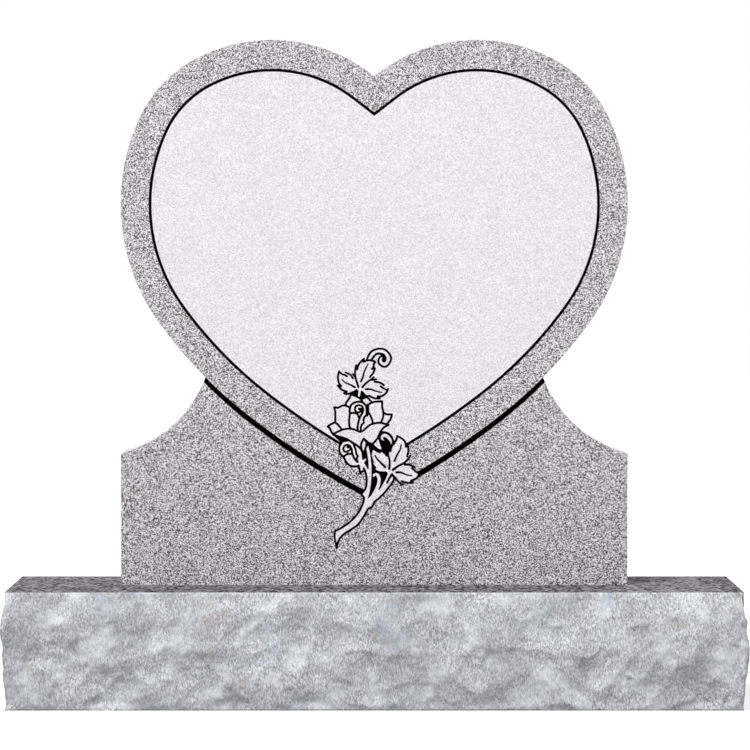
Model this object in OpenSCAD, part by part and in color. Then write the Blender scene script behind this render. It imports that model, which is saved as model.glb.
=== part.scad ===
// A heart-shaped upright headstone with a carved rose, standing on a rock-pitched base.
// Millimetres. The origin is the middle of the underside of the base, Z is up and the
// carved face looks towards -Y.

/* [Base] */
// Length of the base from end arris to end arris
base_w = 914; // [860:2:1000]
// Depth of the base from front arris to back arris
base_d = 356; // [340:2:400]
// Height of the base
base_h = 146; // [120:2:180]
// How far the rock-pitched front and back stand out past their arrises
face_bulge = 18; // [8:1:24]
// How far the rock-pitched ends stand out past their arrises
end_bulge = 6; // [3:0.5:12]

/* [Tablet] */
// Width of the tablet, which also sets the size of its heart
tablet_w = 640; // [600:5:680]
// Thickness of the tablet
tablet_t = 152; // [100:2:160]
// Distance from the front arris of the base back to the face of the tablet
setback = 160; // [60:2:170]
// Height of the square shoulders above the foot of the tablet
shoulder_z = 166; // [150:1:175]
// Radius of the scoops between the heart and the shoulders
scoop_r = 158; // [150:1:165]

/* [Carving] */
// Border between the edge of the heart and its panel
panel_inset = 37; // [36:0.5:38]
// How much lower the panel sits than an even border would put it
panel_drop = 1; // [0:0.5:2]
// Depth of the frosted panel, to which the petals and leaves are also cut back
panel_depth = 1.5; // [0.5:0.1:2.5]
// Width of the line round the panel
border_line = 3.6; // [3.4:0.1:3.8]
// Height of the groove under the lower edge of the heart
edge_groove = 8.5; // [8:0.5:9]
// Depth of the groove under the lower edge of the heart
groove_depth = 6; // [4:0.5:10]
// Height of the middle of the rose above the foot of the tablet
rose_z = 190; // [185:1:195]
// Width of the lines that draw the rose
rose_line = 2.2; // [2.1:0.1:2.3]
// How far the blast spreads each of those lines, to each side
line_spread = 0.35; // [0.3:0.05:0.4]
// Depth of the lines of the panel and the rose
line_depth = 3.4; // [2.5:0.1:5]

/* [Hidden] */

// The cutters start this far in front of the stone
clear = 5;

// The halves of the heart lap over each other by this much
lap = 5;

// Gaps between the rose's lines are closed where they are less than twice this wide, and
// so are gaps in its outline, to find its whole shape
hairline = 0.2;
outline_gap = 1.2;

// Distance between points on a drawn curve, and sides of the rounds at its ends
curve_step = 3;
end_sides = 8;

// The heart: the way its right lobe leaves the cleft, and the arcs that follow one another
// down to the tip, each [radius, sweep], on a heart about one unit wide
cleft = [0, 1];
cleft_heading = 39;
heart_arcs = [[0.32, 67], [0.25, 37], [0.4, 61], [0.9, 16], [1.5, 11]];
heart_step = 0.016;

// Where a scoop's centre is, out from the side of the tablet and up from its foot
scoop_out = 41;
scoop_sides = 120;
scoop_z = shoulder_z + sqrt(scoop_r ^ 2 - scoop_out ^ 2);

// The groove starts at each notch and ends under the rose's stem and its right-hand leaf
groove_from_left = -9;
groove_from_right = 50;

// Rows and columns of the rock-pitched faces, and the chips struck off them
rock_step = 20;
rock_rows = 8;
chip_w = 72;
chip_h = 50;
chip_r = 190;
chip_depth = 9;
rock_seed = 11;

// The relief between the chips, and how it swells between the arris and the underside: a
// lower lift puts the fullest part higher up, and a lower fullness makes it broader
ridge = 6;
swell_lift = 0.8;
swell_fullness = 0.6;

// ---------- curves ----------

// Points of an arc that starts at p on a heading and turns clockwise through a sweep
function turn(p, heading, radius, sweep, step) =
    let (n = ceil(radius * sweep * PI / 180 / step))
    [for (i = [1:n])
        let (a = heading - sweep * i / n)
        p + radius * [sin(heading) - sin(a), cos(a) - cos(heading)]];

// How far a list of arcs turns in all
function turned(arcs) = [for (a = arcs) a[1]] * [for (a = arcs) 1];

// One side of the heart, each arc tangent to the one before
function heart_side(p = cleft, heading = cleft_heading, i = 0) =
    i == len(heart_arcs) ? [] :
    let (arc = turn(p, heading, heart_arcs[i][0], heart_arcs[i][1], heart_step))
    concat(arc, heart_side(arc[len(arc) - 1], heading - heart_arcs[i][1], i + 1));

heart_unit = concat([cleft], heart_side());
heart_scale = tablet_w / 2 / max([for (p = heart_unit) p.x]);

// The heading on which the side of the heart runs into its tip
tip_heading = cleft_heading - turned(heart_arcs);

// A point part of the way from b to c on a smooth curve through a, b, c and d
function between(a, b, c, d, t) =
    0.5 * (2 * b + (c - a) * t + (2 * a - 5 * b + 4 * c - d) * t ^ 2
    + (3 * b - a - 3 * c + d) * t ^ 3);

// A smooth curve through all the points, with a new point about every step
function smooth(points) =
    let (last = len(points) - 1)
    concat(
        [for (i = [0:last - 1])
            let (a = points[max(i - 1, 0)], b = points[i], c = points[i + 1],
                d = points[min(i + 2, last)], n = max(1, round(norm(c - b) / curve_step)))
            for (j = [0:n - 1]) between(a, b, c, d, j / n)],
        [points[last]]);

// The left-hand side of a curve at point i
function across(c, i) =
    let (v = c[min(i + 1, len(c) - 1)] - c[max(i - 1, 0)])
    [-v.y, v.x] / norm(v);

// ---------- strokes of the carver's brush ----------

// A band along a smooth curve, with round ends, whose drawn width runs from w0 to w1
module stroke(points, w0 = rose_line, w1 = rose_line, spread = line_spread) {
    c = smooth(points);
    n = len(c) - 1;
    half = [for (i = [0:n]) (w0 + (w1 - w0) * i / n) / 2 + spread];
    polygon(concat(
        [for (i = [0:n]) c[i] + half[i] * across(c, i)],
        [for (i = [n:-1:0]) c[i] - half[i] * across(c, i)]));
    translate(c[0]) circle(r = half[0], $fn = end_sides);
    translate(c[n]) circle(r = half[n], $fn = end_sides);
}

// A hollow between the lines
module hollow(points) {
    offset(delta = line_spread) polygon(points);
}

// A shoot left standing in a hollow
module shoot(points, w0, w1) {
    stroke(points, w0, w1, -line_spread);
}

// ---------- the rose, about its own middle ----------

module tendril() {
    stroke([[-9, 95], [-7.6, 99.4], [-2.9, 105.6], [5.9, 108.6], [14.2, 107], [20, 100.6],
        [21.2, 95], [17.4, 87.8], [12.4, 85.5], [6.9, 88.6], [5, 93], [7, 98], [11, 99.8]]);
    stroke([[-2.8, 95.3], [1.3, 101], [6.5, 102.4], [11.5, 101]], 2.2, 2.8);
    stroke([[11.6, 100], [13, 97.5], [12.2, 94.1]], 4, 5.6);
}

module upper_leaves() {
    // top leaf
    stroke([[-20, 60], [-22.9, 69], [-24.3, 76], [-24.1, 81], [-22.9, 88]], 2.2, 1.8);
    stroke([[-21.7, 82.6], [-20.2, 87.4], [-17.6, 91.5], [-13, 95.7]]);
    stroke([[-13.6, 91.8], [-10, 93.6], [-5, 94], [-0.8, 93], [1.4, 91.8]]);
    stroke([[1.2, 92], [-0.7, 89], [-1, 85.3], [-3, 82.8]]);
    stroke([[0.8, 84], [-0.2, 80.7], [-1.5, 77.6], [-5.6, 72.8]]);
    stroke([[-16.9, 67.3], [-14.4, 72.5], [-12.3, 80.5], [-7.8, 89.3]], 2.2, 1);
    // left leaf
    stroke([[-23.2, 70.5], [-24.8, 74], [-27.1, 76.6]], 2.2, 1.8);
    stroke([[-26.9, 71], [-30, 75.6], [-36.3, 78.5]], 2.2, 1.8);
    stroke([[-34.4, 73.8], [-37.1, 75.3], [-41, 76.5], [-44.5, 80.2]], 2.2, 1.4);
    stroke([[-44.4, 80], [-46, 72], [-44.3, 64.3], [-41.8, 61.2]]);
    stroke([[-46.2, 62.1], [-40.7, 56.5], [-34.8, 54.3]]);
    stroke([[-38.3, 52.4], [-35.6, 51.2], [-31.5, 51.8], [-24.5, 54.8]]);
    stroke([[-24.4, 59.7], [-29.5, 62.8], [-36.5, 65.6], [-40.9, 69.8]], 2.2, 0.9);
    // right leaf
    stroke([[-15, 59.8], [-12, 63.5], [-8.4, 66.6], [-2.5, 71], [-0.4, 72.8]], 2.4, 1.8);
    stroke([[-5, 69.2], [-0.7, 69.4], [2.6, 69.9]], 2.2, 1.8);
    stroke([[0.3, 66.7], [6.5, 66.1], [12, 62.5]]);
    stroke([[8, 61], [12.1, 58.2], [15, 56.6], [17.7, 57.9]], 2.2, 1.5);
    stroke([[17.2, 57.4], [15.7, 53.5], [10, 48.7], [4.1, 48.4]]);
    stroke([[7.1, 45.8], [1.3, 45.8], [-4.3, 47.9], [-6.8, 49.3]]);
    stroke([[-10.7, 57.2], [-5, 57.4], [3, 54.6], [9.3, 53.5]], 2.3, 1);
    // hollows beside the stalk
    hollow([[-22.5, 57.8], [-20.3, 55.5], [-20.7, 51], [-20.9, 48], [-17, 44.6], [-24.3, 47.9],
        [-30, 51]]);
    hollow([[-16.4, 55.4], [-17.6, 51], [-18.7, 46], [-16.4, 43.5], [-9.5, 46.5], [-6.5, 48.6],
        [-11, 50.5], [-14.4, 54.6]]);
}

module bloom() {
    // petals at the back
    stroke([[-29.4, 50.5], [-31, 46.9], [-35.4, 40.6], [-36.2, 37.6]]);
    stroke([[-30.4, 51], [-24.3, 48.9], [-19.5, 46.6], [-16.6, 44.4]], 1.8, 2);
    stroke([[-16.4, 45], [-15.3, 41.4]], 2.6, 2.6);
    stroke([[-8.8, 47.4], [-5.9, 43.9], [-3, 40.8]]);
    // bud in the middle
    stroke([[-31.7, 11.2], [-31.8, 18], [-30.8, 26.4], [-31.2, 30.6], [-29.2, 37.6], [-23, 41.2],
        [-15.9, 41.2], [-10.9, 37], [-9.6, 32], [-9.6, 26], [-10, 24.4], [-12.6, 22.4],
        [-13.8, 18.6], [-13, 14.8], [-15.4, 13.2], [-16.9, 9.8], [-16.8, 4.6]]);
    stroke([[-31.5, 11.5], [-30.3, 8]]);
    stroke([[-8.4, 37.5], [-7.9, 33], [-8.1, 28.5], [-8.9, 24]], 3, 2);
    stroke([[-22.6, 27.8], [-24.6, 31.8], [-23, 36.2], [-19.2, 37.5], [-15.3, 35.8], [-13.9, 32],
        [-14.6, 28], [-18, 22.5], [-20.4, 14.5], [-21.2, 8.8], [-20.6, 5]]);
    stroke([[-30.4, 26.8], [-26.8, 27.6], [-22.6, 27], [-20.6, 24.8], [-19.4, 21.6]]);
    stroke([[-23, 27.9], [-19, 28.3], [-14.6, 30.6]]);
    stroke([[-19.1, 32.4], [-14.4, 31.6]], 3, 3.6);
    // the large petals at the sides
    stroke([[-50.6, 34.8], [-46.6, 33.8], [-40.7, 36.5], [-36.6, 36.9], [-31, 34.4]]);
    stroke([[-50.7, 34.4], [-49.4, 28.5], [-49.3, 16.4]]);
    stroke([[-50, 16], [-46, 12.8], [-40.8, 6]]);
    stroke([[-9, 37.2], [-2.9, 40.6], [4.7, 42], [10, 42]]);
    stroke([[10, 41.8], [9.8, 35.9], [11.4, 28], [11.2, 22.9], [8.6, 15]]);
    stroke([[-7.9, 29.5], [-4.7, 23.5], [-2.9, 19.4], [-1.9, 14]]);
    // small petals behind them
    stroke([[-49.4, 15.6], [-54, 13.5], [-59, 10.4]]);
    stroke([[-58.6, 10.2], [-56, 8], [-54.5, 4], [-51.5, -0.4]], 2.4, 2.2);
    stroke([[11.6, 28], [15, 25.8], [22.2, 25.4]]);
    stroke([[22.2, 25.4], [20.8, 20], [16.2, 13.4]]);
    // the petal turned over at the front
    stroke([[-51.5, 0.8], [-43, 5.2], [-34.8, 7.4], [-27.1, 7], [-21, 4.6], [-17.7, 3.5],
        [-14.2, 4.8], [-8.8, 9.8], [-2.9, 13.5], [6.5, 15], [12, 14], [18.2, 12.2]]);
    stroke([[17.8, 12.2], [12.4, 9.3], [8.4, 4.6], [4.6, -3.6], [0.6, -9], [-3.5, -11.8],
        [-7.5, -10], [-13.1, -5.4]]);
    stroke([[-51.6, -0.4], [-44, -2.6], [-36, -5], [-27.5, -9.9], [-19.8, -15.3], [-16.4, -18.8]]);
    hollow([[-51, -1], [-44, -2], [-36, -4], [-30, -8], [-36, -9], [-42, -9.5], [-47, -5.4]]);
}

module bud() {
    stroke([[-40.8, -9.8], [-43.8, -14.2], [-44.3, -19.4], [-42.6, -24.6], [-38.5, -28.3],
        [-36.9, -32.4], [-34, -36.3], [-30.1, -39.3], [-25, -40.3], [-19.8, -39.3]]);
    stroke([[-30.2, -8.4], [-26.2, -11.7], [-24.9, -15.8], [-23.2, -20], [-22.8, -24],
        [-20.9, -27.2]]);
    stroke([[-21.4, -27.4], [-22.2, -31], [-21.4, -34]]);
    stroke([[-33.8, -23.2], [-34.8, -21.7], [-37.8, -21.4], [-39.3, -18], [-38, -14.6],
        [-33.7, -12.7], [-30.2, -14.8], [-28.5, -18.3], [-28.1, -22.6], [-26.2, -28.1],
        [-23.4, -32.4], [-20.9, -34.5]]);
    stroke([[-34.6, -21.6], [-31.2, -19.6], [-29.3, -16.4]], 2.2, 2);
    stroke([[-31, -14.8], [-33.6, -15.8]], 3.8, 2.8);
    stroke([[-38.2, -27.6], [-34.6, -24.8], [-28, -24.2]]);
    stroke([[-33.9, -21.6], [-33.9, -24.6]]);
}

module sepals() {
    stroke([[-13.4, -5.2], [-16.2, -10.4], [-16.8, -15], [-15.4, -20], [-13.6, -23]]);
    stroke([[-13.2, -5.2], [-9.8, -9.6], [-10.2, -14], [-11.6, -18.6], [-12.6, -22]]);
    stroke([[-19.8, -15.3], [-16.6, -18.7], [-14.9, -22.8], [-14.2, -30.8]], 2.2, 2);
    // hollow between the bud's leaf and the stem
    hollow([[-15, -21.8], [-13.3, -22.6], [-11.6, -18.5], [-9.8, -20], [-8.8, -26], [-8, -31],
        [-7.4, -38], [-7.4, -43], [-8.4, -43.3], [-9.6, -40.4], [-12.4, -36.6], [-12.6, -35.4],
        [-10.2, -32.4], [-10.2, -30], [-12.7, -30.4], [-14.6, -31.4]]);
    // foot of the bud's stalk
    stroke([[-19.6, -38.8], [-18.7, -44], [-17.5, -49.6]]);
    stroke([[-17.4, -48.2], [-15.4, -46.8], [-12.8, -45]]);
    // hollow between the stem and the leaves on its right
    hollow([[-9.6, -9.8], [-6.2, -11.1], [-1.5, -10.9], [-0.3, -12.7], [1.9, -15.5], [5.8, -18.2],
        [10, -19.2], [8, -22], [7.4, -23.6], [5.2, -22.4], [2.2, -21.6], [-0.8, -18.9],
        [-2.4, -20.4], [-3.3, -26], [-2.2, -30.6], [-0.2, -34.6], [-1.8, -36], [2.4, -42],
        [1.1, -43.6], [3.6, -45.6], [8, -46.8], [14.6, -46.6], [16.4, -48], [16.6, -50.4],
        [13.3, -57.8], [8, -67.2], [5.9, -69.8], [3, -67], [-1, -74.5], [-8, -80.6], [-5.6, -72],
        [-3.9, -61], [-3.2, -50], [-3.3, -40], [-4.2, -30], [-5.6, -21.6], [-7.4, -13.4],
        [-9.6, -16]]);
}

module hook() {
    stroke([[6.6, -1], [5.2, -5.4]], 2.4, 1.8);
    stroke([[8.6, 3], [13.3, 3], [18.4, 1], [22, -3.2], [24.2, -9.6]]);
    hollow([[5.2, -4], [7.4, 1], [9.4, 3.4], [14.4, 3.6], [20, 0], [24, -7.6], [26, -10],
        [26.4, -11.6], [24, -13], [21.8, -15.6], [21, -20.6], [18.6, -22], [18.4, -30],
        [17.4, -27.2], [14.6, -27.4], [12.8, -24.4], [8.8, -21.4], [7, -24], [6, -21], [9, -19],
        [9.4, -17.6], [6.4, -9]]);
}

module right_leaves() {
    // leaf on the left
    stroke([[1, -26.2], [3.4, -30.6], [9, -36.2], [13.8, -41.2]], 1.2, 2.4);
    stroke([[18, -27], [19.4, -33], [19.6, -37], [18.7, -43.4]], 2, 2.4);
    // leaf at the top
    stroke([[24.6, -10.8], [28, -6.4], [29, -2.4]], 2.6, 2.2);
    stroke([[28.6, -1.6], [32, -3], [37.8, -7.4], [39.6, -11], [40, -15.2]], 1.9, 2.4);
    stroke([[42.2, -13.2], [43.2, -19], [42.4, -24], [41.4, -27.8]]);
    stroke([[45.6, -26.4], [43.4, -30], [37.6, -35.8], [30, -39.8], [23.4, -44.6]], 2, 2.6);
    stroke([[33.8, -13], [33.4, -17.4], [28.6, -26], [25.7, -33.2]], 1.3, 2.2);
    stroke([[20.6, -21], [21.4, -16], [24.6, -11.6]], 2, 2.2);
    // leaf on the right
    stroke([[38.6, -37.8], [44, -38], [51, -41]], 2.6, 2);
    stroke([[47.6, -42.4], [51.4, -45.6], [56.4, -49.6]], 2.2, 2);
    stroke([[56.8, -50.4], [53, -55.4], [46.2, -58.4]]);
    stroke([[49, -60.6], [42.6, -61], [34.4, -58.8]]);
    stroke([[35.8, -63], [31.4, -60.4], [26.1, -54.2], [22.4, -50.4]]);
    stroke([[27.8, -47.7], [33, -47.6], [41, -50.8], [47.6, -52]], 2.4, 1);
}

module stems() {
    stroke([[-13.2, -42.6], [-10.8, -48.6], [-9.6, -56], [-9.9, -62.5], [-11.4, -68.6],
        [-16, -74.4]]);
    stroke([[-16, -74.6], [-15.4, -76.6], [-13.3, -79], [-13.4, -84], [-16, -91], [-19.6, -97.8],
        [-24.6, -104.2], [-32, -111.4], [-41.8, -118], [-49.6, -122]]);
    stroke([[-49.6, -122.2], [-50.1, -129], [-48.8, -137], [-47.5, -143.4]], 2.2, 1.6);
    stroke([[22.4, -50.4], [18.8, -55.6], [16.2, -61]], 2.8, 2);
    stroke([[22.4, -50], [24.9, -54], [24.4, -57.6], [19.7, -64.6], [13.3, -73], [5, -81.3],
        [-0.4, -85.2], [-1.2, -88.4], [-3.2, -91.6], [-7.6, -93.4], [-10.3, -98.3],
        [-17.4, -109.8], [-22.3, -115], [-29.6, -120.1], [-37, -124.7], [-42.6, -130],
        [-46.2, -137], [-47.5, -143.4]]);
}

// The side shoot is left standing in the hollow between the stems
module side_shoot() {
    shoot([[-0.9, -52.6], [-0.1, -50.7]], 2.4, 3.4);
    shoot([[-0.1, -50.7], [2.2, -49.7], [4.7, -51.6]], 3.4, 4.4);
    shoot([[4.7, -51.6], [6, -55.6], [5.8, -60.4], [4.4, -65.6], [1.8, -71.4], [-2, -78]], 4.6, 5);
}

// The tendril that hooks over beside the bloom is left standing in the hollow under it
module hooked_tendril() {
    shoot([[12, -6.9], [10.4, -6.2], [9.5, -4]], 1.6, 3.2);
    shoot([[9.5, -4], [9.9, -2.2], [11.4, -1], [13.4, -0.9]], 3.2, 4.8);
    shoot([[13.4, -0.9], [16.6, -2.4], [19.6, -5.8]], 4.8, 4.2);
    shoot([[19.6, -5.8], [21.3, -9], [21.2, -12]], 4.2, 1.2);
}

module rose_lines() {
    difference() {
        offset(delta = -hairline) offset(delta = hairline) {
            tendril();
            upper_leaves();
            bloom();
            bud();
            sepals();
            hook();
            right_leaves();
            stems();
        }
        side_shoot();
        hooked_tendril();
    }
}

// The whole of the rose, to the middle of the lines round it
module rose_shape() {
    offset(delta = -rose_line / 2 - line_spread - outline_gap) fill()
        offset(delta = outline_gap) rose_lines();
}

// ---------- flat shapes of the tablet's face, from its foot up ----------

module at_rose() {
    translate([0, rose_z]) children();
}

module heart() {
    side = [for (p = heart_unit) p * heart_scale];
    last = side[len(side) - 1];
    tip = [0, last.y - last.x * tan(tip_heading)];
    for (m = [0, 1])
        mirror([m, 0]) polygon(concat(side, [tip, [-lap, tip.y + lap], [-lap, side[0].y - lap]]));
}

module tablet_outline() {
    offset(delta = 0) {
        heart();
        difference() {
            translate([-tablet_w / 2, 0]) square([tablet_w, scoop_z]);
            for (m = [-1, 1])
                translate([m * (tablet_w / 2 + scoop_out), scoop_z]) circle(r = scoop_r, $fn = scoop_sides);
        }
    }
}

module panel(grow = 0) {
    translate([0, -panel_drop]) offset(delta = grow - panel_inset) heart();
}

module frosted() {
    offset(delta = 0) {
        panel();
        at_rose() rose_shape();
    }
}

module black_lines() {
    offset(delta = 0) {
        at_rose() rose_lines();
        difference() {
            panel(border_line / 2);
            panel(-border_line / 2);
            at_rose() rose_shape();
        }
    }
}

module heart_groove() {
    offset(delta = 0) intersection() {
        difference() {
            translate([0, -edge_groove]) heart();
            heart();
            at_rose() rose_shape();
        }
        union() {
            translate([-tablet_w / 2, 0]) square([tablet_w / 2 + groove_from_left, scoop_z]);
            translate([groove_from_right, 0]) square([tablet_w / 2 - groove_from_right, scoop_z]);
        }
    }
}

// ---------- rock-pitched faces of the base ----------

// Chips of one face: [place along it, place up it, how deep it was struck]
function chips(face, length) =
    let (nu = round(length / chip_w), nv = round(base_h / chip_h),
        r = rands(0, 1, 3 * nu * nv, rock_seed + face))
    [for (i = [0:nu - 1], j = [0:nv - 1])
        let (k = 3 * (i * nv + j))
        [(i + r[k]) * length / nu - length / 2, (j + r[k + 1]) * base_h / nv,
            r[k + 2] * chip_depth]];

// No relief at the arrises, and most of it a third of the way down from the top
function swell(z) = sin(180 * (1 - z / base_h) ^ swell_lift) ^ swell_fullness;

// Hollows of the chips, with a sharp ridge wherever two of them meet
function relief(list, u, z) =
    swell(z) * (ridge + min([for (c = list) c[2] + ((u - c[0]) ^ 2 + (z - c[1]) ^ 2) / chip_r]));

nx = round(base_w / rock_step);
ny = round(base_d / rock_step);
heights = [for (j = [0:rock_rows]) base_h * j / rock_rows];
along_x = [for (i = [0:nx]) base_w * (i / nx - 0.5)];
along_y = [for (i = [0:ny]) base_d * (i / ny - 0.5)];
lengths = [base_w, base_d, base_w, base_d];
stations = [along_x, along_y, along_x, along_y];
struck = [for (face = [0:3]) chips(face, lengths[face])];
tallest = [for (face = [0:3]) max([for (u = stations[face], z = heights) relief(struck[face], u, z)])];

// How far a face stands out past its arris. Faces: 0 front, 1 right, 2 back, 3 left
function proud(face, u, z) =
    (face % 2 == 0 ? face_bulge : end_bulge) * relief(struck[face], u, z) / tallest[face];

// A point of the ring at height z, pushed out along X and Y
function pushed(x, y, z) = [
    x + 2 * x / base_w * proud(x > 0 ? 1 : 3, y, z),
    y + 2 * y / base_d * proud(y > 0 ? 2 : 0, x, z),
    z];

// The ring round the base, anticlockwise from its front left corner
ring = concat(
    [for (i = [0:nx - 1]) [along_x[i], -base_d / 2]],
    [for (i = [0:ny - 1]) [base_w / 2, along_y[i]]],
    [for (i = [nx:-1:1]) [along_x[i], base_d / 2]],
    [for (i = [ny:-1:1]) [-base_w / 2, along_y[i]]]);

// ---------- the pieces ----------

// Cuts a flat shape into the face of the tablet to a depth
module sunk(depth) {
    translate([0, 0, tablet_t - depth]) linear_extrude(depth + clear) children();
}

module tablet() {
    color([0.70, 0.69, 0.70])
    translate([0, -base_d / 2 + setback + tablet_t, base_h])
    rotate([90, 0, 0])
    difference() {
        linear_extrude(tablet_t) tablet_outline();
        sunk(panel_depth) frosted();
        sunk(line_depth) black_lines();
        sunk(groove_depth) heart_groove();
    }
}

module base() {
    n = len(ring);
    foot = n * len(heights);
    points = concat([for (z = heights, p = ring) pushed(p.x, p.y, z)], [[0, 0, 0], [0, 0, base_h]]);
    sides = [for (j = [0:rock_rows - 1], i = [0:n - 1])
        let (a = j * n + i, b = j * n + (i + 1) % n, flip = (i + j) % 2 == 0)
        each flip ? [[a, a + n, b], [b, a + n, b + n]] : [[a, a + n, b + n], [a, b + n, b]]];
    underside = [for (i = [0:n - 1]) [foot, i, (i + 1) % n]];
    top = [for (i = [0:n - 1]) [foot + 1, rock_rows * n + (i + 1) % n, rock_rows * n + i]];
    color([0.74, 0.74, 0.76])
    polyhedron(points, concat(sides, underside, top));
}

tablet();
base();
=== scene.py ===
"""Finishes a heart-shaped granite headstone and its rock-pitched base, and sets them on a pale floor."""

import math

import bmesh
import bpy
from bpy.props import FloatProperty, FloatVectorProperty, IntProperty, PointerProperty
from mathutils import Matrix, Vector


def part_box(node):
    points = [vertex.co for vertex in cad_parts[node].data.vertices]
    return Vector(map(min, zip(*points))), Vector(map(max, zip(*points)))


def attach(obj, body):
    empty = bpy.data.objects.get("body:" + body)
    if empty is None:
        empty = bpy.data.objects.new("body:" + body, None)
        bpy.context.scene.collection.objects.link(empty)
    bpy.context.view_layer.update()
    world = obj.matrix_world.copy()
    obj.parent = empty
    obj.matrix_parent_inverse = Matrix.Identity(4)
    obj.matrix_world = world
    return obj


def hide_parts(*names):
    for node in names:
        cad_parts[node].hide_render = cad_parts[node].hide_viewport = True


bl_info = {
    "name": "Heart headstone",
    "version": (1, 0, 0),
    "blender": (4, 5, 0),
    "location": "View3D > Sidebar > Headstone",
    "description": "Polished and frosted granite, painted lines, a rock-pitched base and a plain stage",
    "category": "Object",
}

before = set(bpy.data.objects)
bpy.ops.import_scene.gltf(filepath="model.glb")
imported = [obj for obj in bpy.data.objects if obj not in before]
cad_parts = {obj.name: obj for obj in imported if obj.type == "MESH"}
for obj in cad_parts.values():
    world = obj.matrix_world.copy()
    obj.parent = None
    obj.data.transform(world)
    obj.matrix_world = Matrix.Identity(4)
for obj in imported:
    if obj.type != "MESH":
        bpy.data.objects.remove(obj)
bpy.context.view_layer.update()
TABLET_LOW, TABLET_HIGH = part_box("tablet")
BASE_LOW, BASE_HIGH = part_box("base")

# Slots of the tablet's materials and of the base's
POLISHED, HONED, FROSTED, PAINTED = range(4)
BROKEN, TOP = range(2)

# The part of a face's normal along an axis above which it faces that way
FACING = 0.9
# The same for a face that lies flat
FLAT = 0.99
# The same below which a face stands edge on
EDGE_ON = 0.1

# Places of the colour sockets among the inputs and the outputs of a Mix node
MIX_A, MIX_B, MIX_RESULT = 6, 7, 2

WHITE = (1.0, 1.0, 1.0, 1.0)


# ---------- what a user may change ----------


class HeadstoneTabletSettings(bpy.types.PropertyGroup):
    arris: FloatProperty(
        name="Arris",
        description="Width of the small chamfer round the outline of the tablet",
        default=0.0012, min=0.0002, max=0.003, unit="LENGTH",
    )
    grain: FloatProperty(
        name="Grain",
        description="Size of the crystals in the polished granite",
        default=0.00095, min=0.0005, max=0.01, unit="LENGTH",
    )
    dark: FloatVectorProperty(
        name="Dark crystals",
        description="Colour of the darkest crystals in the polished face",
        default=(0.030, 0.028, 0.030), min=0.0, max=1.0, subtype="COLOR",
    )
    pale: FloatVectorProperty(
        name="Pale crystals",
        description="Colour of the palest crystals in the polished face",
        default=(0.755, 0.731, 0.755), min=0.0, max=1.0, subtype="COLOR",
    )
    frosted: FloatVectorProperty(
        name="Frosted stone",
        description="Colour of the panel and the rose where the polish is blasted off",
        default=(0.900, 0.870, 0.900), min=0.0, max=1.0, subtype="COLOR",
    )
    paint: FloatVectorProperty(
        name="Paint",
        description="Colour of the paint in the lines and the grooves",
        default=(0.0004, 0.0004, 0.0004), min=0.0, max=1.0, subtype="COLOR",
    )


class HeadstoneBaseSettings(bpy.types.PropertyGroup):
    levels: IntProperty(
        name="Subdivision",
        description="How finely the rock-pitched faces are divided",
        default=3, min=1, max=3,
    )
    chip: FloatProperty(
        name="Chip size",
        description="Size of the hollows left by the pitching chisel",
        default=0.060, min=0.01, max=0.1, unit="LENGTH",
    )
    chip_depth: FloatProperty(
        name="Chip depth",
        description="Depth of those hollows",
        default=0.0100, min=0.0, max=0.03, unit="LENGTH",
    )
    grit: FloatProperty(
        name="Grit size",
        description="Size of the broken crystals on the rock-pitched faces",
        default=0.0075, min=0.002, max=0.03, unit="LENGTH",
    )
    grit_depth: FloatProperty(
        name="Grit depth",
        description="Depth of the broken surface",
        default=0.0020, min=0.0, max=0.005, unit="LENGTH",
    )
    margin: FloatProperty(
        name="Margin",
        description="Distance from the arrises over which the rough surface fades in",
        default=0.008, min=0.001, max=0.03, unit="LENGTH",
    )
    # Also colours the darker patches of the broken faces, which are partly painted shade
    rock_dark: FloatVectorProperty(
        name="Broken stone, dark",
        description="Colour of the dark crystals of the broken faces",
        default=(0.300, 0.299, 0.314), min=0.0, max=1.0, subtype="COLOR",
    )
    rock_pale: FloatVectorProperty(
        name="Broken stone, pale",
        description="Colour of the pale crystals of the broken faces",
        default=(0.820, 0.820, 0.866), min=0.0, max=1.0, subtype="COLOR",
    )
    # The pale patches that this colours are partly bruises and partly painted light on the broken faces
    rock_bruises_and_painted_light: FloatVectorProperty(
        name="Bruised stone",
        description="Colour of the bruises that the chisel leaves",
        default=(0.920, 0.930, 0.970), min=0.0, max=1.0, subtype="COLOR",
    )
    rock_blue: FloatVectorProperty(
        name="Blue tint",
        description="Colour of the bluish patches of the broken faces",
        default=(0.440, 0.520, 0.660), min=0.0, max=1.0, subtype="COLOR",
    )
    rock_rust: FloatVectorProperty(
        name="Rust",
        description="Colour of the faint rusty spots of the broken faces",
        default=(0.400, 0.340, 0.290), min=0.0, max=1.0, subtype="COLOR",
    )
    top_dark: FloatVectorProperty(
        name="Top, dark",
        description="Colour of the dark crystals of the polished top",
        default=(0.020, 0.018, 0.021), min=0.0, max=1.0, subtype="COLOR",
    )
    top_pale: FloatVectorProperty(
        name="Top, pale",
        description="Colour of the pale crystals of the polished top",
        default=(0.300, 0.287, 0.305), min=0.0, max=1.0, subtype="COLOR",
    )


class HeadstoneStageSettings(bpy.types.PropertyGroup):
    daylight: FloatProperty(
        name="Fill",
        description="Brightness of the even light from all round",
        default=0.30, min=0.0, max=2.0,
    )
    lamp: FloatProperty(
        name="Lamp",
        description="Power of the soft lamp high up at the front left",
        default=1950.0, min=0.0, max=8000.0, unit="POWER",
    )
    front_lamp: FloatProperty(
        name="Front lamp",
        description="Power of the soft lamp low down behind the camera",
        default=260.0, min=0.0, max=2000.0, unit="POWER",
    )
    back_lamp: FloatProperty(
        name="Back lamp",
        description="Power of the soft lamp behind the stone",
        default=320.0, min=0.0, max=2000.0, unit="POWER",
    )
    floor: FloatVectorProperty(
        name="Floor",
        description="Colour of the floor",
        default=(0.36, 0.36, 0.36), min=0.0, max=1.0, subtype="COLOR",
    )


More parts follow.
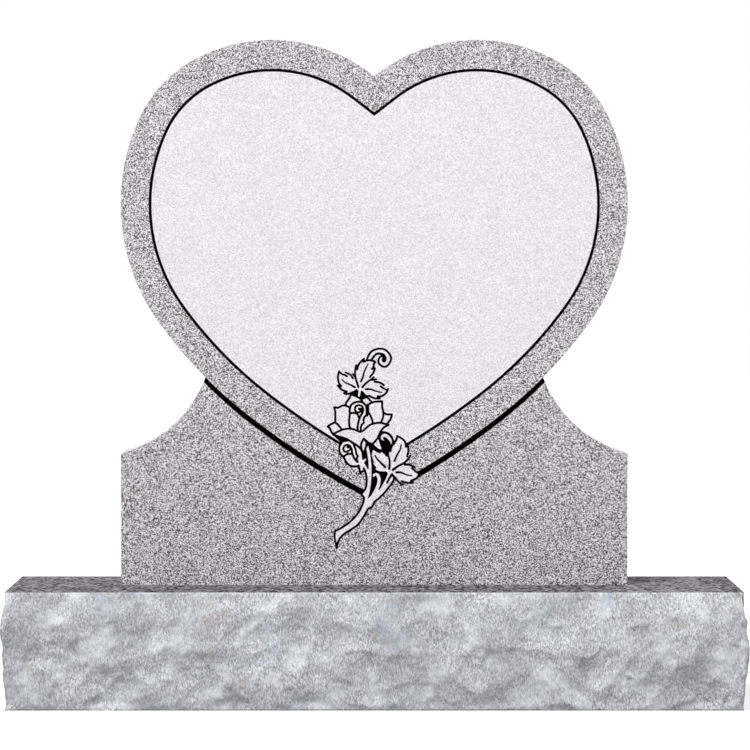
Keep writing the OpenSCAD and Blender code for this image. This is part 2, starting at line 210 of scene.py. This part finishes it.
# ---------- shader node groups ----------


def new_group(name, inputs, outputs):
    """An empty node group with named sockets: (its tree, its input node, its output node)."""
    tree = bpy.data.node_groups.new(name, "ShaderNodeTree")
    for socket, kind, value in inputs:
        item = tree.interface.new_socket(socket, in_out="INPUT", socket_type=kind)
        if value is not None:
            item.default_value = value
    for socket, kind in outputs:
        tree.interface.new_socket(socket, in_out="OUTPUT", socket_type=kind)
    return tree, tree.nodes.new("NodeGroupInput"), tree.nodes.new("NodeGroupOutput")


def feed(tree, socket, value):
    """Links an input to another node's output, or gives it a plain value."""
    if isinstance(value, bpy.types.NodeSocket):
        tree.links.new(value, socket)
    else:
        socket.default_value = value


def node(tree, kind, settings=None, **inputs):
    """A node of that kind, with its settings, and with each input fed by its name, or _0, _1 by its place."""
    made = tree.nodes.new("ShaderNode" + kind)
    for key, value in (settings or {}).items():
        setattr(made, key, value)
    for key, value in inputs.items():
        by_place = key[0] == "_"
        feed(tree, made.inputs[int(key[1:]) if by_place else key.replace("_", " ")], value)
    return made


def math_node(tree, operation, a, b, clamp=False):
    return node(tree, "Math", {"operation": operation, "use_clamp": clamp}, _0=a, _1=b).outputs[0]


def blend_colours(tree, factor, a, b, how="MIX"):
    made = tree.nodes.new("ShaderNodeMix")
    made.data_type = "RGBA"
    made.blend_type = how
    feed(tree, made.inputs["Factor"], factor)
    feed(tree, made.inputs[MIX_A], a)
    feed(tree, made.inputs[MIX_B], b)
    return made.outputs[MIX_RESULT]


def scaled(tree, value, factor, plus=0.0):
    """A value times a factor, and something added to it."""
    return math_node(tree, "ADD", math_node(tree, "MULTIPLY", value, factor), plus)


def shaded(tree, colour, shade):
    """A colour made darker or paler by a grey shade."""
    grey = node(tree, "CombineColor", Red=shade, Green=shade, Blue=shade).outputs[0]
    return blend_colours(tree, 1.0, colour, grey, "MULTIPLY")


def patched(tree, stone, colour, amount, mask):
    """The stone with patches of another colour where the mask is, up to that amount."""
    return blend_colours(tree, math_node(tree, "MULTIPLY", mask, amount), stone, rgba(colour))


def grain_group(name):
    """Crystals of granite: a tone for each crystal, from 0 for the darkest to 1 for the palest."""
    tree, given, out = new_group(
        name,
        [
            ("Vector", "NodeSocketVector", None),
            ("Size", "NodeSocketFloat", 0.002),
            ("Contrast", "NodeSocketFloat", 1.0),
        ],
        [("Tone", "NodeSocketFloat")],
    )
    middle, crystal_share = 0.5, 0.62
    where = given.outputs["Vector"]
    scale = math_node(tree, "DIVIDE", 1.0, given.outputs["Size"])
    cells = node(tree, "TexVoronoi", {"feature": "F1"}, Vector=where, Scale=scale)
    tone = node(tree, "SeparateColor", Color=cells.outputs["Color"]).outputs[0]
    cloud = node(tree, "TexNoise", Vector=where, Scale=scale, Detail=2.0, Roughness=0.7).outputs[0]
    both = scaled(tree, tone, crystal_share, plus=math_node(tree, "MULTIPLY", cloud, 1.0 - crystal_share))
    centred = math_node(tree, "SUBTRACT", both, middle)
    spread = math_node(tree, "MULTIPLY", centred, given.outputs["Contrast"])
    tree.links.new(math_node(tree, "ADD", spread, middle, clamp=True), out.inputs["Tone"])
    return tree


def mottle_group(name):
    """Soft clouding of the stone, from 0 to 1, with streaks if the vector is stretched."""
    tree, given, out = new_group(
        name,
        [
            ("Vector", "NodeSocketVector", None),
            ("Size", "NodeSocketFloat", 0.05),
            ("Low", "NodeSocketFloat", 0.4),
            ("High", "NodeSocketFloat", 0.6),
        ],
        [("Mask", "NodeSocketFloat")],
    )
    where = given.outputs["Vector"]
    scale = math_node(tree, "DIVIDE", 1.0, given.outputs["Size"])
    cloud = node(tree, "TexNoise", Vector=where, Scale=scale, Detail=3.0, Roughness=0.6).outputs[0]
    limits = {"From_Min": given.outputs["Low"], "From_Max": given.outputs["High"]}
    mask = node(tree, "MapRange", {"interpolation_type": "SMOOTHSTEP"}, Value=cloud, **limits)
    tree.links.new(mask.outputs[0], out.inputs["Mask"])
    return tree


def shared_groups():
    """The two groups above, made once and then used again: (crystals, clouding)."""
    return tuple(
        bpy.data.node_groups.get(name) or build(name)
        for name, build in (("Granite crystals", grain_group), ("Stone clouding", mottle_group))
    )


def placed(tree, group, vector, **values):
    """One of the groups above, placed in a material with its own values: its output."""
    made = tree.nodes.new("ShaderNodeGroup")
    made.node_tree = group
    tree.links.new(vector, made.inputs["Vector"])
    for key, value in values.items():
        made.inputs[key].default_value = value
    return made.outputs[0]


def new_material(name):
    """A new material: (the material, its tree, its Principled shader, its object coordinates)."""
    made = bpy.data.materials.new(name)
    made.use_nodes = True
    tree = made.node_tree
    shader = tree.nodes["Principled BSDF"]
    return made, tree, shader, tree.nodes.new("ShaderNodeTexCoord").outputs["Object"]


def shifted(tree, where, distance):
    """The same coordinates from another place in the stone, so that two cloudings don't match."""
    return node(tree, "Mapping", Vector=where, Location=(distance, -distance, distance)).outputs[0]


def rgba(colour):
    return (*colour, 1.0)


def roughen(tree, shader, height, distance):
    """Bumps of that height in a shader's surface."""
    bump = node(tree, "Bump", Height=height, Distance=distance, Strength=1.0)
    tree.links.new(bump.outputs["Normal"], shader.inputs["Normal"])


def finish_shader(tree, shader, colour, roughness, specular):
    """Gives a shader its colour, how rough it is and how strongly it shines."""
    feed(tree, shader.inputs["Base Color"], colour)
    feed(tree, shader.inputs["Roughness"], roughness)
    feed(tree, shader.inputs["Specular IOR Level"], specular)


def seen_by(tree, *rays):
    """1 where one of these kinds of ray meets this, and 0 for the rays that it only lights."""
    path = tree.nodes.new("ShaderNodeLightPath")
    seen = path.outputs[rays[0]]
    for ray in rays[1:]:
        seen = math_node(tree, "MAXIMUM", seen, path.outputs[ray])
    return seen


# ---------- materials ----------


def polished_granite(settings, crystals, clouding):
    made, tree, shader, where = new_material("polished_granite")
    tone = placed(tree, crystals, where, Size=settings.grain, Contrast=9.0)
    stone = blend_colours(tree, tone, rgba(settings.dark), rgba(settings.pale))
    cloud = placed(tree, clouding, where, Size=0.02, Low=0.35, High=0.65)
    stone = shaded(tree, stone, scaled(tree, cloud, 0.10, plus=0.95))
    finish_shader(tree, shader, stone, roughness=0.16, specular=0.25)
    return made


def honed_granite(settings, crystals, clouding):
    made, tree, shader, where = new_material("honed_granite")
    tone = placed(tree, crystals, where, Size=settings.grain, Contrast=1.0)
    stone = blend_colours(tree, tone, rgba(settings.dark), rgba(settings.pale))
    cloud = placed(tree, clouding, where, Size=0.03, Low=0.3, High=0.7)
    finish_shader(tree, shader, stone, roughness=scaled(tree, cloud, 0.12, plus=0.40), specular=0.5)
    roughen(tree, shader, tone, distance=0.00008)
    return made


def frosted_granite(settings, crystals, clouding):
    made, tree, shader, where = new_material("frosted_granite")
    tone = placed(tree, crystals, where, Size=settings.grain, Contrast=1.8)
    cloud = placed(tree, clouding, where, Size=0.03, Low=0.3, High=0.7)
    shade = scaled(tree, tone, 0.46, plus=scaled(tree, cloud, 0.03, plus=0.68))
    stone = shaded(tree, rgba(settings.frosted), shade)
    finish_shader(tree, shader, stone, roughness=0.85, specular=0.3)
    roughen(tree, shader, tone, distance=0.00015)
    return made


def black_paint(settings):
    made, tree, shader, where = new_material("black_paint")
    grit = node(tree, "TexNoise", Vector=where, Scale=900.0, Detail=1.0).outputs[0]
    worn = [part * 2.5 for part in settings.paint]
    paint = blend_colours(tree, grit, rgba(settings.paint), rgba(worn))
    finish_shader(tree, shader, paint, roughness=1.0, specular=0.0)
    roughen(tree, shader, grit, distance=0.0001)
    return made


def broken_granite(settings, crystals, clouding):
    made, tree, shader, where = new_material("broken_granite")
    streaked = node(tree, "Mapping", Vector=where, Scale=(1.0, 1.0, 0.35)).outputs[0]
    tone = placed(tree, crystals, streaked, Size=0.0010, Contrast=1.6)
    stone = blend_colours(tree, tone, rgba(settings.rock_dark), rgba(settings.rock_pale))
    # Darker patches: partly darker stone, partly painted shade standing in for the hollows of the broken
    # faces
    dull_and_painted_shade = placed(tree, clouding, where, Size=0.070, Low=0.40, High=0.62)
    stone = patched(tree, stone, settings.rock_dark, 0.36, dull_and_painted_shade)
    # Paler patches: partly the chisel's bruises, partly painted light standing in for the lit lumps of the
    # broken faces
    bruises_and_painted_light = placed(tree, clouding, shifted(tree, where, 3.1), Size=0.045, Low=0.48, High=0.66)
    stone = patched(tree, stone, settings.rock_bruises_and_painted_light, 0.42, bruises_and_painted_light)
    blue = placed(tree, clouding, shifted(tree, where, 7.7), Size=0.06, Low=0.60, High=0.74)
    stone = patched(tree, stone, settings.rock_blue, 0.35, blue)
    rust = placed(tree, clouding, shifted(tree, where, 12.4), Size=0.035, Low=0.64, High=0.76)
    stone = patched(tree, stone, settings.rock_rust, 0.35, rust)
    finish_shader(tree, shader, stone, roughness=0.88, specular=0.3)
    roughen(tree, shader, tone, distance=0.0006)
    return made


def polished_top(settings, crystals, clouding):
    made, tree, shader, where = new_material("polished_top")
    drawn = node(tree, "Mapping", Vector=where, Scale=(1.0, 0.5, 1.0)).outputs[0]
    tone = placed(tree, crystals, drawn, Size=0.0042, Contrast=3.2)
    stone = blend_colours(tree, tone, rgba(settings.top_dark), rgba(settings.top_pale))
    finish_shader(tree, shader, stone, roughness=0.3, specular=0.0)
    shader.inputs["Coat Weight"].default_value = 0.08
    shader.inputs["Coat Roughness"].default_value = 0.12
    return made


# ---------- working on a mesh ----------

# Points closer together than this are one point
SAME_PLACE = 1e-6


def copy_of(cad_node, name):
    """A new object with a merged copy of a CAD node's mesh, selected and active."""
    bpy.ops.object.select_all(action="DESELECT")
    piece = bpy.data.objects.new(name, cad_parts[cad_node].data.copy())
    piece.data.name = name
    piece.data.materials.clear()
    bpy.context.scene.collection.objects.link(piece)
    bpy.context.view_layer.objects.active = piece
    piece.select_set(True)
    bpy.ops.object.mode_set(mode="EDIT")
    bpy.ops.mesh.select_all(action="SELECT")
    bpy.ops.mesh.remove_doubles(threshold=SAME_PLACE)
    bpy.ops.object.mode_set(mode="OBJECT")
    return piece


def select(piece, kind, test):
    """Selects only the vertices, edges or polygons, as kind says, that pass the test."""
    mesh = piece.data
    for part in (mesh.vertices, mesh.edges, mesh.polygons):
        part.foreach_set("select", [False] * len(part))
    bpy.context.tool_settings.mesh_select_mode = [kind == k for k in ("vertices", "edges", "polygons")]
    chosen = getattr(mesh, kind)
    chosen.foreach_set("select", [test(part) for part in chosen])


def edit(operator, **values):
    """Runs one edit-mode operator on what is selected."""
    bpy.ops.object.mode_set(mode="EDIT")
    operator(**values)
    bpy.ops.object.mode_set(mode="OBJECT")


def edit_all(piece, operator, **values):
    """Runs one edit-mode operator on the whole piece."""
    select(piece, "polygons", lambda face: True)
    edit(operator, **values)


def apply_modifier(piece, kind, **values):
    made = piece.modifiers.new(kind.lower(), kind)
    for key, value in values.items():
        setattr(made, key, value)
    bpy.ops.object.modifier_apply(modifier=made.name)


def check_closed(piece):
    """Stops the script if the piece isn't one closed skin."""
    form = bmesh.new()
    form.from_mesh(piece.data)
    open_edges = sum(1 for e in form.edges if len(e.link_faces) != 2)
    volume = form.calc_volume(signed=True)
    form.free()
    if open_edges or volume <= 0:
        raise RuntimeError(f"{piece.name} has {open_edges} open edges and a volume of {volume}")


def finish_piece(piece, cad_node):
    check_closed(piece)
    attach(piece, "root")
    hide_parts(cad_node)


# ---------- the pieces ----------


class OBJECT_OT_headstone_tablet(bpy.types.Operator):
    """Make the heart-shaped tablet with its frosted panel, rose and painted lines"""

    bl_idname = "object.headstone_tablet"
    bl_label = "Tablet"

    # Depths below the polished face between which the other surfaces of the carving lie
    FROSTED_FROM = 0.0005
    PAINTED_FROM = 0.0024
    CARVING_TO = 0.0065
    # Faces that turn less than this between them are made one, or are shaded as one
    FLUSH = math.radians(0.1)
    SMOOTH = math.radians(20)

    def surface(self, face):
        """The slot of the material that a face has."""
        depth = face.center.y - TABLET_LOW.y
        if face.normal.y > FACING:
            return HONED
        if face.normal.y > -FACING:
            return PAINTED if depth < self.CARVING_TO else POLISHED
        if depth < self.FROSTED_FROM:
            return POLISHED
        return FROSTED if depth < self.PAINTED_FROM else PAINTED

    def chamfer(self, piece, width):
        """Takes the sharpness off the outline of the tablet, front and back."""
        mesh = piece.data
        sides = {}
        for face in mesh.polygons:
            for key in face.edge_keys:
                sides.setdefault(key, []).append(face)
        flat = {key for key, faces in sides.items() if self.is_arris(*faces)}
        select(piece, "edges", lambda edge: tuple(sorted(edge.vertices)) in flat)
        edit(bpy.ops.mesh.bevel, offset=width, segments=2, profile=0.5, clamp_overlap=True)

    def is_arris(self, one, other):
        """An edge between the front or back of the tablet and its side."""
        if PAINTED in (one.material_index, other.material_index):
            return False
        least, most = sorted(abs(face.normal.y) for face in (one, other))
        return least < EDGE_ON and most > FACING

    def execute(self, context):
        settings = context.scene.headstone_tablet
        piece = copy_of("tablet", "tablet_stone")
        crystals, clouding = shared_groups()
        for material in (
            polished_granite(settings, crystals, clouding),
            honed_granite(settings, crystals, clouding),
            frosted_granite(settings, crystals, clouding),
            black_paint(settings),
        ):
            piece.data.materials.append(material)
        for face in piece.data.polygons:
            face.material_index = self.surface(face)
        edit_all(piece, bpy.ops.mesh.dissolve_limited, angle_limit=self.FLUSH, delimit={"MATERIAL"})
        self.chamfer(piece, settings.arris)
        bpy.ops.object.shade_smooth_by_angle(angle=self.SMOOTH)
        for face in piece.data.polygons:
            if abs(face.normal.y) > FLAT:
                face.use_smooth = False
        finish_piece(piece, "tablet")
        return {"FINISHED"}


class OBJECT_OT_headstone_base(bpy.types.Operator):
    """Make the base with its rock-pitched faces and polished top"""

    bl_idname = "object.headstone_base"
    bl_label = "Base"

    # A diagonal of a square runs at least so far along its face, and rises more than a level edge
    DIAGONAL = 0.019
    LEVEL = 0.001
    # How near the corners of its box the upright corners of the base lie, and how sharp they stay
    CORNER_X = 0.008
    CORNER_Y = 0.020
    CORNER_CREASE = 0.35
    # The spalls between the hollows, as parts of the size and the depth of the hollows
    SPALL_SIZE = 0.6
    SPALL_DEPTH = 0.5
    # Tone of the textures that leaves the stone where it is
    UNMOVED = 0.42
    # Faces that turn less than this between them are shaded as one
    SMOOTH = math.radians(50)

    def squares(self, piece):
        """Makes squares of the sides' triangles, and one face each of the top and the underside."""
        place = [v.co.copy() for v in piece.data.vertices]

        def is_diagonal(edge):
            a, b = (place[i] for i in edge.vertices)
            run = max(abs(a.x - b.x), abs(a.y - b.y))
            return abs(a.z - b.z) > self.LEVEL and run > self.DIAGONAL

        select(piece, "edges", is_diagonal)
        edit(bpy.ops.mesh.dissolve_edges, use_verts=False)
        select(piece, "polygons", lambda face: abs(face.normal.z) > FLAT)
        edit(bpy.ops.mesh.dissolve_faces)

    def on_arris(self, z):
        return min(z - BASE_LOW.z, BASE_HIGH.z - z) < self.LEVEL

    def hold_arrises(self, piece):
        """Keeps the arrises straight and their corners square when the piece is subdivided."""
        mesh = piece.data
        z = [v.co.z for v in mesh.vertices]
        corner = [
            abs(v.co.x) > BASE_HIGH.x - self.CORNER_X and abs(v.co.y) > BASE_HIGH.y - self.CORNER_Y
            for v in mesh.vertices
        ]
        held = mesh.attributes.new("crease_edge", "FLOAT", "EDGE")
        for edge in mesh.edges:
            a, b = edge.vertices
            if self.on_arris(z[a]) and self.on_arris(z[b]):
                held.data[edge.index].value = 1.0
            elif corner[a] and corner[b]:
                held.data[edge.index].value = self.CORNER_CREASE
        held = mesh.attributes.new("crease_vert", "FLOAT", "POINT")
        for i in range(len(mesh.vertices)):
            if corner[i] and self.on_arris(z[i]):
                held.data[i].value = 1.0

    def fade(self, piece, margin):
        """A vertex group that is nothing at the arrises and full a margin away from them."""
        group = piece.vertex_groups.new(name="rough")
        for v in piece.data.vertices:
            away = min(v.co.z - BASE_LOW.z, BASE_HIGH.z - v.co.z) / margin
            group.add([v.index], max(0.0, min(1.0, away)), "REPLACE")

    def chip(self, piece, name, kind, size, depth, **values):
        """Strikes hollows of that size and depth into the rough faces."""
        texture = bpy.data.textures.new(name, kind)
        texture.noise_scale = size
        for key, value in values.items():
            setattr(texture, key, value)
        apply_modifier(
            piece, "DISPLACE", texture=texture, texture_coords="LOCAL", vertex_group="rough",
            mid_level=self.UNMOVED, strength=depth,
        )

    def keep_inside(self, piece):
        """Trims the few points that the chips push out of the base's own box."""
        for v in piece.data.vertices:
            for axis in range(3):
                v.co[axis] = min(max(v.co[axis], BASE_LOW[axis]), BASE_HIGH[axis])

    def execute(self, context):
        settings = context.scene.headstone_base
        piece = copy_of("base", "base_stone")
        crystals, clouding = shared_groups()
        piece.data.materials.append(broken_granite(settings, crystals, clouding))
        piece.data.materials.append(polished_top(settings, crystals, clouding))
        self.squares(piece)
        for face in piece.data.polygons:
            face.material_index = TOP if face.normal.z > FACING else BROKEN
        self.hold_arrises(piece)
        levels = settings.levels
        apply_modifier(piece, "SUBSURF", levels=levels, render_levels=levels, use_creases=True)
        self.fade(piece, settings.margin)
        size, depth = settings.chip, settings.chip_depth
        self.chip(piece, "chips", "VORONOI", size, depth, distance_metric="DISTANCE_SQUARED")
        self.chip(
            piece, "spalls", "MUSGRAVE", size * self.SPALL_SIZE, depth * self.SPALL_DEPTH,
            musgrave_type="RIDGED_MULTIFRACTAL", octaves=3.0, noise_intensity=0.5,
        )
        self.chip(piece, "grit", "CLOUDS", settings.grit, settings.grit_depth, noise_depth=2)
        self.keep_inside(piece)
        piece.vertex_groups.clear()
        bpy.ops.object.shade_smooth_by_angle(angle=self.SMOOTH)
        finish_piece(piece, "base")
        return {"FINISHED"}


class SCENE_OT_headstone_stage(bpy.types.Operator):
    """Set the floor, the light and the camera"""

    bl_idname = "scene.headstone_stage"
    bl_label = "Stage"

    CAMERA = Vector((0.0009, -6.958, 0.549))
    PITCH = math.radians(1.136)
    LENS = 263.9
    SENSOR = 36.0
    # Where the lamps point
    AIM = Vector((0.0, 0.0, 0.4))
    # Name, place and size of each lamp, and the setting that has its power
    LAMPS = (
        ("key_lamp", (-3.6, -7.6, 12.8), 3.0, "lamp"),
        ("front_lamp", (0.0, -9.0, 0.8), 4.0, "front_lamp"),
        ("back_lamp", (2.6, 7.0, 4.4), 4.0, "back_lamp"),
    )
    FLOOR_SIZE = 40.0
    # The floor's own glow grows between these distances, so that it meets the white round it
    GLOW = {"From_Min": 0.7, "From_Max": 2.2, "To_Min": 0.69, "To_Max": 1.0}

    def floor(self, settings):
        bpy.ops.object.select_all(action="DESELECT")
        bpy.ops.mesh.primitive_plane_add(size=self.FLOOR_SIZE, location=(0, 0, BASE_LOW.z))
        made = bpy.context.active_object
        made.name = "floor"
        bpy.ops.object.transform_apply(location=True, rotation=True, scale=True)
        material, tree, shader, where = new_material("pale_floor")
        finish_shader(tree, shader, rgba(settings.floor), roughness=0.9, specular=0.0)
        seen = seen_by(tree, "Is Camera Ray", "Is Glossy Ray")
        away = node(tree, "VectorMath", {"operation": "LENGTH"}, _0=where).outputs["Value"]
        glow = node(tree, "MapRange", {"interpolation_type": "SMOOTHSTEP"}, Value=away, **self.GLOW)
        shader.inputs["Emission Color"].default_value = WHITE
        tree.links.new(math_node(tree, "MULTIPLY", seen, glow.outputs[0]), shader.inputs["Emission Strength"])
        made.data.materials.append(material)

    def world(self, settings):
        world = bpy.data.worlds.new("studio")
        bpy.context.scene.world = world
        world.use_nodes = True
        tree = world.node_tree
        seen = seen_by(tree, "Is Camera Ray", "Is Glossy Ray", "Is Transmission Ray")
        strength = node(tree, "MapRange", Value=seen, To_Min=settings.daylight, To_Max=1.0)
        tree.links.new(strength.outputs[0], tree.nodes["Background"].inputs["Strength"])
        tree.nodes["Background"].inputs["Color"].default_value = WHITE

    def lamp(self, name, place, size, power):
        data = bpy.data.lights.new(name, "AREA")
        data.shape = "SQUARE"
        data.size = size
        data.energy = power
        made = bpy.data.objects.new(name, data)
        made.location = place
        made.rotation_euler = (self.AIM - Vector(place)).to_track_quat("-Z", "Y").to_euler()
        bpy.context.scene.collection.objects.link(made)

    def camera(self):
        data = bpy.data.cameras.new("camera")
        data.lens = self.LENS
        data.sensor_width = self.SENSOR
        made = bpy.data.objects.new("camera", data)
        made.location = self.CAMERA
        made.rotation_euler = (math.pi / 2 - self.PITCH, 0.0, 0.0)
        bpy.context.scene.collection.objects.link(made)
        bpy.context.scene.camera = made

    def execute(self, context):
        settings = context.scene.headstone_stage
        context.scene.view_settings.view_transform = "Standard"
        self.floor(settings)
        self.world(settings)
        for name, place, size, power in self.LAMPS:
            self.lamp(name, place, size, getattr(settings, power))
        self.camera()
        return {"FINISHED"}


class VIEW3D_PT_headstone(bpy.types.Panel):
    """The headstone's pieces and their settings"""

    bl_idname = "VIEW3D_PT_headstone"
    bl_label = "Headstone"
    bl_space_type = "VIEW_3D"
    bl_region_type = "UI"
    bl_category = "Headstone"

    def draw(self, context):
        for operator, settings in (
            ("object.headstone_tablet", context.scene.headstone_tablet),
            ("object.headstone_base", context.scene.headstone_base),
            ("scene.headstone_stage", context.scene.headstone_stage),
        ):
            box = self.layout.box()
            for prop in settings.bl_rna.properties:
                if prop.identifier not in ("rna_type", "name"):
                    box.prop(settings, prop.identifier)
            box.operator(operator)


CLASSES = (
    HeadstoneTabletSettings,
    HeadstoneBaseSettings,
    HeadstoneStageSettings,
    OBJECT_OT_headstone_tablet,
    OBJECT_OT_headstone_base,
    SCENE_OT_headstone_stage,
    VIEW3D_PT_headstone,
)


def register():
    for made in CLASSES:
        bpy.utils.register_class(made)
    bpy.types.Scene.headstone_tablet = PointerProperty(type=HeadstoneTabletSettings)
    bpy.types.Scene.headstone_base = PointerProperty(type=HeadstoneBaseSettings)
    bpy.types.Scene.headstone_stage = PointerProperty(type=HeadstoneStageSettings)


def unregister():
    del bpy.types.Scene.headstone_stage
    del bpy.types.Scene.headstone_base
    del bpy.types.Scene.headstone_tablet
    for made in reversed(CLASSES):
        bpy.utils.unregister_class(made)


def main():
    register()
    bpy.ops.object.headstone_tablet()
    bpy.ops.object.headstone_base()
    bpy.ops.scene.headstone_stage()


if __name__ == "__main__":
    main()
